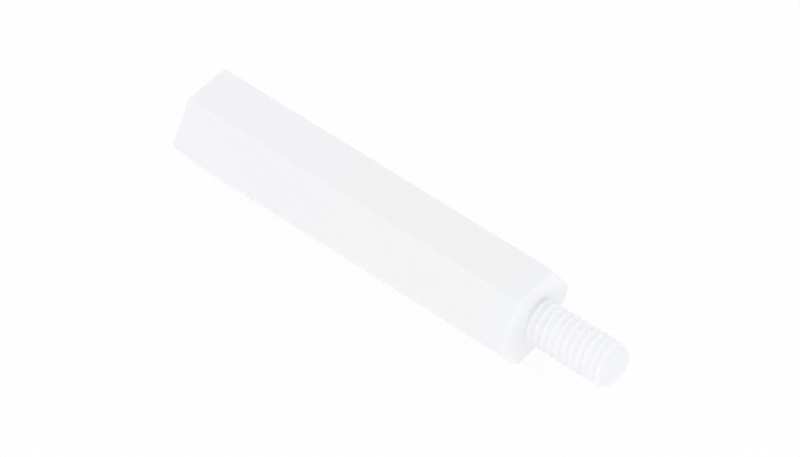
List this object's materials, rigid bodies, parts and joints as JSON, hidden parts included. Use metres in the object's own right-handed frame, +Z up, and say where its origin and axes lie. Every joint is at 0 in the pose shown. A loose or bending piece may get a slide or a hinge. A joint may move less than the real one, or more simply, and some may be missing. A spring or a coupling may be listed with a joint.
{
  "type": "hex standoff",
  "caption": "Hexagonal nylon standoff with a male threaded stud and, in its other end, a blind tapped hole.",
  "frame": {"origin": "on the standoff's axis, at the shoulder face where the stud leaves the body", "axes": "+X along the axis towards the stud's tip; +Z up, square to the two flats that lie level; the part lies on its -Z flat"},
  "size_m": [0.031, 0.0064, 0.0056],
  "materials": {
    "nylon": "natural, slightly translucent moulded nylon with a soft satin surface"
  },
  "bodies": {
    "root": {"standoff": "nylon"}
  },
  "joints": []
}
